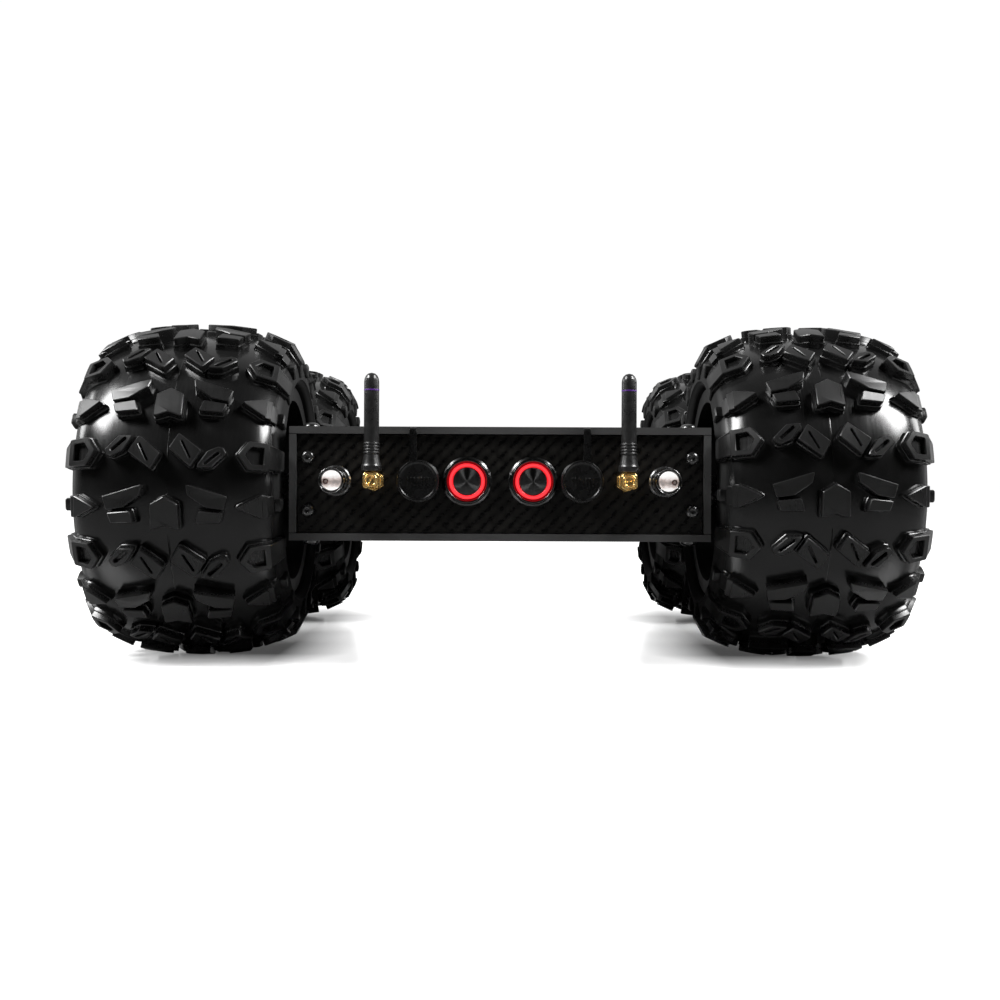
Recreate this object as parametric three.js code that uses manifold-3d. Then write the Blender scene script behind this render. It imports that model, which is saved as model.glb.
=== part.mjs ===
// Four wheel robot chassis: a flat box of bolted plates with a gear motor behind each wheel.
//
// Millimetres, +Z up. The front panel faces -Y, and left and right are as seen from in front,
// so left is -X. The origin is on the floor, midway between the wheels.
import * as THREE from 'three';
import { mergeVertices } from 'three/addons/utils/BufferGeometryUtils.js';
import Module from 'manifold-3d';

const wasm = await Module();
wasm.setup();

// ---------------------------------------------------------------- driving dimensions

const GAP = 0.3; // clearance between neighbouring pieces

// Wheels: tyres on 3.8 inch rims, driven through 17 mm hexes.
const WHEEL_X = 142.9;
const AXLE_Y = 100;
const AXLE_Z = 80;
const TREAD_RADIUS = 80.25; // to the corners of the lugs, whose flat tops dip to 80 between them
const TREAD_PITCHES = 10;
const PITCH_RADIUS = 78; // radius at which lug outlines have their true length round the tyre
const RIM_FLANGE_RADIUS = 50;
const RIM_BARREL_RADIUS = 45.5;
const RIM_HALF_WIDTH = 42.3;
const HEX_CORNER_RADIUS = 9.8;
const STUD_RADIUS = 4;

// Angle of the first tread row above the forward horizontal, for each wheel as it stands.
const TREAD_PHASE = {
  front_left: 47.6,
  front_right: 52.3,
  rear_left: 38,
  rear_right: 40,
};

// Box of plates.
const BOX_HALF_WIDTH = 93;
const BOX_HALF_LENGTH = 159;
const BOX_BOTTOM = 57.2;
const BOX_TOP = 107.6;
const BOX_MID_Z = (BOX_BOTTOM + BOX_TOP) / 2;
const PLATE = 3.2;
const PANEL_THICKNESS = 3;
const PANEL_RECESS = 2;
const PANEL_FACE = BOX_HALF_LENGTH - PANEL_RECESS;
const POST_SIZE = 9;

// Places of the front panel's fittings: sideways from the middle, and height on the panel.
const FITTING_Z = BOX_MID_Z + 1.2;
const SCREW_X = 85;
const SCREW_RISE = 11.7;
const LAMP_X = 72.6;
const ANTENNA_X = 55.5;
const PORT_X = 36;
const BUTTON_X = 14.6;

// Holes through the front panel.
const SCREW_HOLE_RADIUS = 1.8;
const LAMP_HOLE_RADIUS = 5.4;
const ANTENNA_HOLE_RADIUS = 3.5;
const PORT_HOLE_RADIUS = 8.3;
const BUTTON_HOLE_RADIUS = 9.9;

// Antenna: a right-angle plug on a bulkhead socket, with a stubby rod.
const ELBOW_OUT = 13.5; // rod axis ahead of the panel face
const ELBOW_SIZE = 6.8;
const ROD_LENGTH = 46.5; // from the elbow's centre to the rod's tip

// Rubber strap that holds each dust cap.
const STRAP_WIDTH = 3.5;
const STRAP_THICKNESS = 1.2;
const STRAP_TOP = BOX_MID_Z + 23.5;

// Drive and electronics inside the box.
const GEARBOX_RADIUS = 18;
const MOTOR_RADIUS = 17;
const MOTOR_LENGTH = 58;
const GEARBOX_LENGTH = 27;
const BOSS_RADIUS = 6;
const SHAFT_RADIUS = 3;

// ---------------------------------------------------------------- materials

function finish(color, roughness, metalness) {
  return new THREE.MeshStandardMaterial({ color, roughness, metalness });
}

const anodised = finish(0x1c1c1e, 0.55, 0.6);
const carbonFibre = finish(0x101012, 0.35, 0.1);
const blackRubber = finish(0x0c0c0d, 0.6, 0);
const blackPlastic = finish(0x141415, 0.5, 0);
const blackMetal = finish(0x19191a, 0.35, 0.8);
const blackSteel = finish(0x1a1a1a, 0.4, 0.8);
const steel = finish(0x9a9a9c, 0.35, 0.9);
const chrome = finish(0xd8d8da, 0.12, 1);
const gold = finish(0xd9a441, 0.25, 1);
const clearLens = finish(0xe6ecf0, 0.08, 0);
const redLight = finish(0xff2a33, 0.4, 0);
const circuitBoard = finish(0x14502c, 0.5, 0);
const batteryWrap = finish(0x1f3f7a, 0.4, 0);

// ---------------------------------------------------------------- geometry helpers

// Six times the volume that the faces enclose, negative when they point inwards.
function signedVolume(geometry) {
  const points = geometry.attributes.position;
  const [a, b, c] = [new THREE.Vector3(), new THREE.Vector3(), new THREE.Vector3()];
  let sum = 0;
  for (let i = 0; i < geometry.index.count; i += 3) {
    a.fromBufferAttribute(points, geometry.index.getX(i));
    b.fromBufferAttribute(points, geometry.index.getX(i + 1));
    c.fromBufferAttribute(points, geometry.index.getX(i + 2));
    sum += a.dot(b.cross(c));
  }
  return sum;
}

// A closed mesh of shared points whose faces point outwards.
function closed(source) {
  const bare = source.clone();
  bare.deleteAttribute('normal');
  bare.deleteAttribute('uv');
  const merged = mergeVertices(bare, 1e-4);
  const index = Array.from(merged.index.array);
  const kept = [];
  for (let i = 0; i < index.length; i += 3) {
    const [a, b, c] = index.slice(i, i + 3);
    if (a !== b && b !== c && c !== a) kept.push(a, b, c);
  }
  merged.setIndex(kept);
  if (signedVolume(merged) < 0) merged.setIndex(kept.reverse());
  return merged;
}

function toManifold(geometry) {
  const mesh = closed(geometry);
  return new wasm.Manifold(new wasm.Mesh({
    numProp: 3,
    vertProperties: new Float32Array(mesh.attributes.position.array),
    triVerts: new Uint32Array(mesh.index.array),
  }));
}

function fromManifold(solid) {
  const mesh = solid.getMesh();
  const geometry = new THREE.BufferGeometry();
  geometry.setAttribute('position', new THREE.BufferAttribute(mesh.vertProperties, 3));
  geometry.setIndex(new THREE.BufferAttribute(mesh.triVerts, 1));
  return geometry;
}

function join(...geometries) {
  return fromManifold(geometries.map(toManifold).reduce((sum, next) => sum.add(next)));
}

function cut(base, ...tools) {
  return fromManifold(tools.map(toManifold).reduce((rest, tool) => rest.subtract(tool), toManifold(base)));
}

function box(width, depth, height, x = 0, y = 0, z = 0) {
  return new THREE.BoxGeometry(width, depth, height).translate(x, y, z);
}

// A turned solid: profile points are [radius, distance along the axis], and the axis is +Z.
function turned(profile, sides = 16) {
  const points = profile.map(([radius, along]) => new THREE.Vector2(radius, along));
  return new THREE.LatheGeometry(points, sides).rotateX(Math.PI / 2);
}

// A turned ring: as above, with a profile that closes on itself away from the axis.
function turnedRing(profile, sides = 16) {
  return turned([...profile, profile[0]], sides);
}

function rod(radius, from, to, sides = 12) {
  return turned([[0, from], [radius, from], [radius, to], [0, to]], sides);
}

// Turns a solid's +Z axis to point ahead of the front panel, along -Y.
function facingForward(geometry) {
  return geometry.rotateX(Math.PI / 2);
}

// Turns a solid's +Z axis to point out along +X, as a wheel's axle does on the right.
function alongAxle(geometry) {
  return geometry.rotateY(Math.PI / 2);
}

// Radius of a many-sided hole whose flats clear a round of the given radius.
function roomFor(radius, sides) {
  return (radius + GAP) / Math.cos(Math.PI / sides);
}

function circlePath(x, y, radius, sides) {
  const path = new THREE.Path();
  for (let i = 0; i < sides; i += 1) {
    const angle = (2 * Math.PI * i) / sides;
    const point = [x + radius * Math.cos(angle), y + radius * Math.sin(angle)];
    if (i === 0) path.moveTo(...point);
    else path.lineTo(...point);
  }
  path.closePath();
  return path;
}

function polygon(points) {
  return new THREE.Shape(points.map(([x, y]) => new THREE.Vector2(x, y)));
}

// A flat plate centred on its middle, with round holes given as [x, y, radius, sides].
function plate(width, height, thickness, holes = []) {
  const [w, h] = [width / 2, height / 2];
  const outline = polygon([[-w, -h], [w, -h], [w, h], [-w, h]]);
  outline.holes = holes.map(([x, y, radius, sides]) => circlePath(x, y, radius, sides));
  const options = { depth: thickness, bevelEnabled: false };
  return new THREE.ExtrudeGeometry(outline, options).translate(0, 0, -thickness / 2);
}

const chassis = new THREE.Group();

function add(parent, name, geometry, material, x = 0, y = 0, z = 0) {
  const mesh = new THREE.Mesh(closed(geometry), material);
  mesh.name = name;
  mesh.position.set(x, y, z);
  parent.add(mesh);
  return mesh;
}

const SIDES = [['left', -1], ['right', 1]];
const ENDS = [['front', -1], ['rear', 1]];

// ---------------------------------------------------------------- box of plates

function addPlates() {
  const length = 2 * BOX_HALF_LENGTH;
  const innerHeight = BOX_TOP - BOX_BOTTOM - 2 * PLATE - 2 * GAP;
  const lid = box(2 * BOX_HALF_WIDTH, length, PLATE);
  add(chassis, 'top_plate', lid, anodised, 0, 0, BOX_TOP - PLATE / 2);
  add(chassis, 'bottom_plate', lid, anodised, 0, 0, BOX_BOTTOM + PLATE / 2);
  for (const [side, sign] of SIDES) {
    const axleDrop = AXLE_Z - BOX_MID_Z;
    const holes = [-AXLE_Y, AXLE_Y].map((y) => [-axleDrop, y, BOSS_RADIUS + GAP, 16]);
    const wall = plate(innerHeight, length, PLATE, holes).rotateY(Math.PI / 2);
    add(chassis, `side_plate_${side}`, wall, anodised, sign * (BOX_HALF_WIDTH - PLATE / 2), 0, BOX_MID_Z);
  }
}

function mirrored(x, y, radius, sides) {
  return [[-x, y, radius, sides], [x, y, radius, sides]];
}

function screwHoles() {
  return [-SCREW_RISE, SCREW_RISE].flatMap((z) => mirrored(SCREW_X, z, SCREW_HOLE_RADIUS, 8));
}

function addPanels() {
  const width = 2 * (BOX_HALF_WIDTH - PLATE - GAP);
  const height = BOX_TOP - BOX_BOTTOM - 2 * PLATE - 2 * GAP;
  const rise = FITTING_Z - BOX_MID_Z;
  const fittingHoles = [
    ...mirrored(LAMP_X, rise, LAMP_HOLE_RADIUS, 12),
    ...mirrored(ANTENNA_X, rise, ANTENNA_HOLE_RADIUS, 10),
    ...mirrored(PORT_X, rise, PORT_HOLE_RADIUS, 16),
    ...mirrored(BUTTON_X, rise, BUTTON_HOLE_RADIUS, 16),
  ];
  const panelY = PANEL_FACE - PANEL_THICKNESS / 2;
  const front = plate(width, height, PANEL_THICKNESS, [...screwHoles(), ...fittingHoles]);
  const rear = plate(width, height, PANEL_THICKNESS, screwHoles());
  add(chassis, 'front_panel', front.rotateX(Math.PI / 2), carbonFibre, 0, -panelY, BOX_MID_Z);
  add(chassis, 'rear_panel', rear.rotateX(Math.PI / 2), carbonFibre, 0, panelY, BOX_MID_Z);
}

// Square posts in the corners, drilled for the screws of the end panels.
function addCornerPosts() {
  const height = BOX_TOP - BOX_BOTTOM - 2 * PLATE - 2 * GAP;
  const holes = [-SCREW_RISE, SCREW_RISE].map((z) => [0, z, SCREW_HOLE_RADIUS, 8]);
  const post = plate(POST_SIZE, height, POST_SIZE, holes).rotateX(Math.PI / 2);
  const y = PANEL_FACE - PANEL_THICKNESS - GAP - POST_SIZE / 2;
  for (const [end, endSign] of ENDS) {
    for (const [side, sign] of SIDES) {
      add(chassis, `corner_post_${end}_${side}`, post, anodised, sign * SCREW_X, endSign * y, BOX_MID_Z);
    }
  }
}

// Button-head screw: a domed head with a hexagonal socket, and a shank through the panel.
function buttonScrew() {
  const head = turned([[0, -9], [1.5, -9], [1.5, GAP], [2.85, GAP], [2.5, 1.3], [1.5, 1.9], [0, 1.9]], 10);
  return cut(head, rod(1.15, 0.9, 3, 6));
}

function addPanelScrews() {
  for (const [level, levelSign] of [['lower', -1], ['upper', 1]]) {
    for (const [side, sign] of SIDES) {
      const z = BOX_MID_Z + levelSign * SCREW_RISE;
      const screw = facingForward(buttonScrew());
      add(chassis, `panel_screw_${level}_${side}`, screw, blackSteel, sign * SCREW_X, -PANEL_FACE, z);
    }
  }
}

// ---------------------------------------------------------------- front fittings
// Profiles here give [radius, distance ahead of the panel face].

function addLamp(side, x) {
  const body = turned([
    [0, -12], [5, -12], [5, GAP], [6.9, GAP], [6.9, 1.7], [5.95, 2],
    [5.95, 15.6], [5.6, 16], [5.25, 16], [5.25, 7], [0, 7],
  ]);
  const lens = turned([[0, 7 + GAP], [4.9, 7 + GAP], [4.9, 14], [3.4, 15.2], [0, 15.7]], 16);
  add(chassis, `lamp_body_${side}`, facingForward(body), chrome, x, -PANEL_FACE, FITTING_Z);
  add(chassis, `lamp_lens_${side}`, facingForward(lens), clearLens, x, -PANEL_FACE, FITTING_Z);
}

function addButton(side, x) {
  const bezel = turned([
    [0, -22], [9.4, -22], [9.4, GAP], [11, GAP], [11, 1.8], [9.75, 2.2],
    [9.75, 3.4], [8.7, 3.4], [8.7, -6], [0, -6],
  ]);
  const lightRing = turnedRing([[6.35, -6 + GAP], [8.35, -6 + GAP], [8.35, 3], [6.35, 3]]);
  const cap = turned([[0, -3.5], [6, -3.5], [6, 2.9], [5.6, 3.3], [0, 3.3]]);
  add(chassis, `button_bezel_${side}`, facingForward(bezel), blackMetal, x, -PANEL_FACE, FITTING_Z);
  add(chassis, `button_light_ring_${side}`, facingForward(lightRing), redLight, x, -PANEL_FACE, FITTING_Z);
  add(chassis, `button_cap_${side}`, facingForward(cap), blackMetal, x, -PANEL_FACE, FITTING_Z);
}

// Panel socket under a dust cap, with an open mouth for the plug.
function portSocket() {
  return turned([
    [0, -18], [7.8, -18], [7.8, 1.7], [9.7, 1.7], [9.7, 3.1], [7.3, 3.1],
    [7.3, 6.2], [5.6, 6.2], [5.6, -8], [0, -8],
  ]);
}

// Band of rubber given by its side outline, as points of [distance ahead, height].
function band(outline) {
  const shape = polygon(outline);
  const strip = new THREE.ExtrudeGeometry(shape, { depth: STRAP_WIDTH, bevelEnabled: false });
  // The outline's first coordinate goes ahead along -Y and its second up along +Z.
  const turn = new THREE.Matrix4().makeBasis(
    new THREE.Vector3(0, -1, 0),
    new THREE.Vector3(0, 0, 1),
    new THREE.Vector3(-1, 0, 0),
  );
  return strip.applyMatrix4(turn).translate(STRAP_WIDTH / 2, 0, 0);
}

// Rubber ring clamped behind the socket's flange, with the strap that rises from it.
function portStrap() {
  const ring = facingForward(turnedRing([[8.2, GAP], [10.2, GAP], [10.2, 1.4], [8.2, 1.4]]));
  const top = STRAP_TOP - FITTING_Z;
  const [near, far] = [PANEL_RECESS + 0.4, PANEL_RECESS + 0.4 + STRAP_THICKNESS];
  const riser = band([[GAP, 9], [1.4, 9], [1.4, 11.2], [far, 16], [far, top], [near, top], [near, 16.4], [GAP, 11.6]]);
  return join(ring, riser);
}

// Shallow rubber cup over the socket's mouth, hung from the strap's front run.
function dustCap() {
  const cup = facingForward(turned([
    [0, 6.6], [7.9, 6.6], [7.9, 3.1 + GAP], [9.4, 3.1 + GAP], [9.4, 7.8], [9, 8.2],
    [8, 8.2], [8, 7.8], [0, 7.8],
  ]));
  const near = 5.2;
  const far = near + STRAP_THICKNESS;
  const top = STRAP_TOP - FITTING_Z - 1.3;
  return join(cup, band([[near, 8.6], [far, 8.6], [far, top], [near, top]]));
}

function addPort(side, x) {
  add(chassis, `port_socket_${side}`, facingForward(portSocket()), blackPlastic, x, -PANEL_FACE, FITTING_Z);
  add(chassis, `port_strap_${side}`, portStrap(), blackRubber, x, -PANEL_FACE, FITTING_Z);
  add(chassis, `dust_cap_${side}`, dustCap(), blackRubber, x, -PANEL_FACE, FITTING_Z);
}

// Threaded bulkhead socket and its hexagonal nut.
function antennaSocket() {
  return join(rod(3.1, -8, 7), rod(4.6, GAP, 2.6, 6));
}

// Right-angle plug: coupling nut, square body, slotted end cap and the neck under the rod.
function antennaElbow() {
  const half = ELBOW_SIZE / 2;
  const coupling = cut(rod(4.2, 2.9, 8.8, 12), rod(3.1 + GAP, 2.5, 7 + GAP, 12));
  const block = box(ELBOW_SIZE, ELBOW_SIZE, ELBOW_OUT + half - 8, 0, 0, (8 + ELBOW_OUT + half) / 2);
  const endCap = rod(2.7, ELBOW_OUT, ELBOW_OUT + half + 0.9, 12);
  const slot = box(8, 0.9, 1, 0, 0, ELBOW_OUT + half + 1);
  const plug = facingForward(cut(join(coupling, block, endCap), slot));
  return join(plug, rod(2.9, 0, 4, 12).translate(0, -ELBOW_OUT, 0));
}

// Stubby antenna: collar, cone, ribbed waist and a plain mast with a rounded tip.
function antennaRod() {
  return turned([
    [0, 4 + GAP], [4.4, 4 + GAP], [4.4, 6.5], [3.2, 11.2], [3.6, 11.6], [3.6, 16.4],
    [3.25, 17], [3.25, ROD_LENGTH - 2.2], [2.4, ROD_LENGTH - 0.6], [0, ROD_LENGTH],
  ], 12);
}

function addAntenna(side, x) {
  const socket = facingForward(antennaSocket());
  add(chassis, `antenna_socket_${side}`, socket, gold, x, -PANEL_FACE, FITTING_Z);
  add(chassis, `antenna_elbow_${side}`, antennaElbow(), gold, x, -PANEL_FACE, FITTING_Z);
  add(chassis, `antenna_rod_${side}`, antennaRod(), blackPlastic, x, -PANEL_FACE - ELBOW_OUT, FITTING_Z);
}

// ---------------------------------------------------------------- drive and electronics

// Planetary gear motor with a bored boss that the wheel's shaft turns in.
function gearMotor() {
  const back = -MOTOR_LENGTH;
  const joint = -GEARBOX_LENGTH;
  return alongAxle(turned([
    [0, back], [MOTOR_RADIUS, back], [MOTOR_RADIUS, joint], [GEARBOX_RADIUS, joint],
    [GEARBOX_RADIUS, 0], [BOSS_RADIUS, 0], [BOSS_RADIUS, 5.5],
    [SHAFT_RADIUS + GAP, 5.5], [SHAFT_RADIUS + GAP, -8], [0, -8],
  ], 12));
}

function circuit(width, depth, chips) {
  const legHeight = 5;
  const pieces = [box(width, depth, 1.6, 0, 0, legHeight + 0.8)];
  for (const x of [-width / 2 + 4, width / 2 - 4]) {
    for (const y of [-depth / 2 + 4, depth / 2 - 4]) pieces.push(box(5, 5, legHeight + 0.5, x, y, legHeight / 2 + 0.25));
  }
  for (const [w, d, h, x, y] of chips) pieces.push(box(w, d, h + 1, x, y, legHeight + 1.6 + h / 2 - 0.5));
  return join(...pieces);
}

function addInside() {
  const floor = BOX_BOTTOM + PLATE + GAP;
  const motorFace = BOX_HALF_WIDTH - PLATE - GAP;
  for (const [end, endSign] of ENDS) {
    for (const [side, sign] of SIDES) {
      const motor = add(chassis, `gear_motor_${end}_${side}`, gearMotor(), steel);
      motor.position.set(sign * motorFace, endSign * AXLE_Y, AXLE_Z);
      motor.rotation.z = sign < 0 ? Math.PI : 0;
    }
  }
  add(chassis, 'battery_pack', box(138, 47, 36), batteryWrap, 0, -52, floor + 18);
  const computer = circuit(85, 56, [[15, 15, 2, -12, 0], [17, 21, 15, 32, -16], [17, 21, 15, 32, 12]]);
  const driver = circuit(70, 38, [[40, 20, 12, 0, 4], [50, 8, 9, 0, -13]]);
  add(chassis, 'controller_board', computer, circuitBoard, 0, 4, floor);
  add(chassis, 'motor_driver_board', driver, circuitBoard, 0, 56, floor);
}

// ---------------------------------------------------------------- wheels
// Across the tyre, w is the distance from its centre plane; s is the distance up round the tread.

// Height along a polyline of [w, radius] points, at |w|.
function along(points, w) {
  const at = Math.abs(w);
  for (let i = 1; i < points.length; i += 1) {
    const [w0, r0] = points[i - 1];
    const [w1, r1] = points[i];
    if (at <= w1) return r0 + ((r1 - r0) * (at - w0)) / (w1 - w0);
  }
  return points[points.length - 1][1];
}

const CARCASS_OUTSIDE = [[0, 73], [28, 73], [38, 68], [43.6, 58]];
const CARCASS_SIDES = 2 * TREAD_PITCHES; // one flat under each row of lugs
const LUG_TOPS = [[0, TREAD_RADIUS], [15, 79.3], [26, 77.8], [31, 76.3], [44, 70.4], [48.4, 68]];
const SHOULDER_W = 43.4;
const LUG_ROOT = 1.4; // how deep a lug starts below the carcass surface

// The tyre's wall, from the crown round each bead and back under the crown.
function carcass() {
  const seat = roomFor(RIM_BARREL_RADIUS, CARCASS_SIDES);
  const flangeClear = roomFor(RIM_FLANGE_RADIUS, CARCASS_SIDES);
  const outside = [...CARCASS_OUTSIDE.slice(1), [42.6, flangeClear]];
  const bead = [[38.7, flangeClear], [38.7, seat], [34, seat]];
  const inside = [[39.6, 57], [27, 69.5]];
  const half = [...outside, ...bead, ...inside];
  const mirror = half.slice().reverse().map(([w, r]) => [-w, r]);
  const profile = [...half, ...mirror].map(([w, r]) => [r, w]);
  return turnedRing(profile, CARCASS_SIDES).rotateZ(Math.PI / CARCASS_SIDES);
}

// A tread lug: its outline of [w, s] points, raised from the carcass to the tread's envelope.
function lug(outline, turnAngle) {
  const block = new THREE.ExtrudeGeometry(polygon(outline), { depth: 1, bevelEnabled: false });
  const points = block.attributes.position;
  for (let i = 0; i < points.count; i += 1) {
    const isTop = points.getZ(i) > 0.5;
    const w = isTop ? points.getX(i) : THREE.MathUtils.clamp(points.getX(i), -SHOULDER_W, SHOULDER_W);
    const radius = isTop ? along(LUG_TOPS, w) : along(CARCASS_OUTSIDE, w) - LUG_ROOT;
    const angle = points.getY(i) / PITCH_RADIUS + turnAngle;
    points.setXYZ(i, w, -radius * Math.cos(angle), radius * Math.sin(angle));
  }
  return block;
}

const HOUSE_LUG = [[30.8, -0.8], [35, -7.4], [48.4, -7.2], [48.4, 5.6], [35, 5.8]];
const SLANTED_LUG = [[-26, 2], [-5.7, -7.8], [11.3, -7], [26, -2], [5.7, 7.8], [-11.3, 7]];
const CHEVRON_LUG = [[-25.5, -22.5], [-6.1, -33.7], [6.1, -33.7], [25.5, -22.5], [0, -18]];

function tyre() {
  const farHouse = HOUSE_LUG.map(([w, s]) => [-w, -s]);
  const pitch = [CHEVRON_LUG, SLANTED_LUG, HOUSE_LUG, farHouse];
  const lugs = [];
  for (let i = 0; i < TREAD_PITCHES; i += 1) {
    for (const outline of pitch) lugs.push(lug(outline, (2 * Math.PI * i) / TREAD_PITCHES));
  }
  return join(alongAxle(carcass()), ...lugs);
}

// Rim: barrel with two flanges, and a coned disc with six windows and a hexagonal pocket.
function rim() {
  const inner = 43.3;
  const flange = RIM_HALF_WIDTH;
  const section = turnedRing([
    [STUD_RADIUS + GAP, -6], [14, -6], [14, 2], [inner, 27], [inner, -flange], [RIM_FLANGE_RADIUS, -flange],
    [RIM_FLANGE_RADIUS, -39], [RIM_BARREL_RADIUS, -39], [RIM_BARREL_RADIUS, 39], [RIM_FLANGE_RADIUS, 39],
    [RIM_FLANGE_RADIUS, flange], [inner, flange], [inner, 33], [15, 8], [STUD_RADIUS + GAP, 8],
  ], 16);
  const pocket = rod(HEX_CORNER_RADIUS + 0.35, -7, GAP, 6);
  const windows = [];
  for (let i = 0; i < 6; i += 1) {
    const shape = polygon([[18, -4], [38, -10], [38, 10], [18, 4]]);
    const hole = new THREE.ExtrudeGeometry(shape, { depth: 40, bevelEnabled: false });
    windows.push(hole.rotateZ(((i + 0.5) * Math.PI) / 3));
  }
  return alongAxle(cut(section, pocket, ...windows));
}

// Driving hub: the motor's shaft, a sleeve, the hexagon and the threaded stud.
function wheelHub() {
  const shaftStart = BOX_HALF_WIDTH - PLATE - GAP - 7 - WHEEL_X;
  const sleeveStart = BOX_HALF_WIDTH - PLATE - GAP + 6.5 - WHEEL_X;
  const turnedPart = turned([
    [0, shaftStart], [SHAFT_RADIUS, shaftStart], [SHAFT_RADIUS, sleeveStart], [8, sleeveStart],
    [8, -4], [STUD_RADIUS, -4], [STUD_RADIUS, 17], [0, 17],
  ], 12);
  return alongAxle(join(turnedPart, rod(HEX_CORNER_RADIUS, -8, 0, 6)));
}

function wheelNut() {
  const nut = rod(7.5, 8 + GAP, 15, 6);
  return alongAxle(cut(nut, rod(STUD_RADIUS + GAP, 7, 18, 12)));
}

function addWheels() {
  const shapes = { tyre: tyre(), rim: rim(), hub: wheelHub(), nut: wheelNut() };
  for (const [end, endSign] of ENDS) {
    for (const [side, sign] of SIDES) {
      const place = `${end}_${side}`;
      const wheel = new THREE.Group();
      wheel.position.set(sign * WHEEL_X, endSign * AXLE_Y, AXLE_Z);
      chassis.add(wheel);
      const tread = add(wheel, `tyre_${place}`, shapes.tyre, blackRubber);
      tread.rotation.x = -THREE.MathUtils.degToRad(TREAD_PHASE[place]);
      const turnedOut = [
        add(wheel, `rim_${place}`, shapes.rim, blackPlastic),
        add(wheel, `wheel_hub_${place}`, shapes.hub, blackSteel),
        add(wheel, `wheel_nut_${place}`, shapes.nut, blackSteel),
      ];
      for (const mesh of turnedOut) mesh.rotation.z = sign < 0 ? Math.PI : 0;
    }
  }
}

// ---------------------------------------------------------------- assembly

addPlates();
addPanels();
addCornerPosts();
addPanelScrews();
for (const [side, sign] of SIDES) {
  addLamp(side, sign * LAMP_X);
  addAntenna(side, sign * ANTENNA_X);
  addPort(side, sign * PORT_X);
  addButton(side, sign * BUTTON_X);
}
addInside();
addWheels();

export default chassis;
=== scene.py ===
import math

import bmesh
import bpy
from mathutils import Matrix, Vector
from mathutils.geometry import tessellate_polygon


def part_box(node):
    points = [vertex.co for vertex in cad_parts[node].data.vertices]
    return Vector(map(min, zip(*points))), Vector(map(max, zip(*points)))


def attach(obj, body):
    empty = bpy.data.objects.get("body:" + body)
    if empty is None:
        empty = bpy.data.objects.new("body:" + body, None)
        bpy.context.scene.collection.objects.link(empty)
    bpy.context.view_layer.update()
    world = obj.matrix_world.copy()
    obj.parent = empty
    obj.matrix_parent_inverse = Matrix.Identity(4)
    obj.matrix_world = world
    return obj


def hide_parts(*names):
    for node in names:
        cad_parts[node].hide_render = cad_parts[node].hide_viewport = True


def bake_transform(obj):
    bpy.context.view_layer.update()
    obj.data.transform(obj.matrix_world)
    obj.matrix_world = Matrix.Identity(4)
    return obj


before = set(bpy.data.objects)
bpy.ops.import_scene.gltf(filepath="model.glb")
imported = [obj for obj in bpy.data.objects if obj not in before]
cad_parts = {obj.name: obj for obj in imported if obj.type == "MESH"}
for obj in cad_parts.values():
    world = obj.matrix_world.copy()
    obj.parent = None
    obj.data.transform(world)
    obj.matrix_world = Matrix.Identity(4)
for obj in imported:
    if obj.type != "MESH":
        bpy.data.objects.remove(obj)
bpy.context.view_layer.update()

# Looks of a four wheel robot chassis: a flat box of plates between four lugged tyres.
#
# Lengths are millimetres unless said otherwise, and MM turns them into Blender's metres.
# Left and right are as seen from in front, so left is -X. "Out" is the distance ahead of
# the front panel's face, "w" the distance across a wheel from its centre plane, and "s" the
# distance up round the tread.

MM = 0.001
SIDES = (("left", -1), ("right", 1))
ENDS = (("front", -1), ("rear", 1))


def centre_of(node):
    low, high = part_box(node)
    return (low + high) / 2 / MM


PANEL_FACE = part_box("front_panel")[0].y / MM
REAR_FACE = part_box("rear_panel")[1].y / MM
DECK_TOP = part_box("top_plate")[1].z / MM
DECK_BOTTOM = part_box("bottom_plate")[0].z / MM


# ---------------- outlines


def round_corners(points, radius, steps=3, closed=True):
    """The outline with a short curve at each corner."""
    rounded = []
    count = len(points)
    for i, point in enumerate(points):
        corner = Vector(point)
        if not closed and i in (0, count - 1):
            rounded.append(corner)
            continue
        before = Vector(points[i - 1]) - corner
        after = Vector(points[(i + 1) % count]) - corner
        angle = before.angle(after)
        if angle > math.radians(170):
            rounded.append(corner)
            continue
        reach = min(radius / math.tan(angle / 2), 0.45 * before.length, 0.45 * after.length)
        start = corner + before.normalized() * reach
        end = corner + after.normalized() * reach
        for step in range(steps + 1):
            t = step / steps
            rounded.append((1 - t) ** 2 * start + 2 * t * (1 - t) * corner + t**2 * end)
    return rounded


def subdivide(points, longest):
    """A closed outline with points added so that no edge is longer than that."""
    dense = []
    for i, point in enumerate(points):
        after = points[(i + 1) % len(points)]
        parts = max(1, math.ceil((after - point).length / longest))
        dense.extend(point.lerp(after, k / parts) for k in range(parts))
    return dense


def offset(points, distance):
    """A closed counter-clockwise outline moved outwards."""
    moved = []
    for i, point in enumerate(points):
        before = (point - points[i - 1]).normalized()
        after = (points[(i + 1) % len(points)] - point).normalized()
        outward = Vector((before.y + after.y, -before.x - after.x)).normalized()
        shared = outward.dot(Vector((before.y, -before.x)))
        moved.append(point + outward * distance / max(shared, 0.4))
    return moved


def counter_clockwise(points):
    points = [Vector(point) for point in points]
    area = sum(points[i - 1].cross(point) for i, point in enumerate(points))
    return points if area > 0 else points[::-1]


def interpolate(table, x):
    """Value at x of the polyline through the table's (x, value) points."""
    for (x0, y0), (x1, y1) in zip(table, table[1:]):
        if x <= x1:
            return y0 + (y1 - y0) * (x - x0) / (x1 - x0)
    return table[-1][1]


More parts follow.
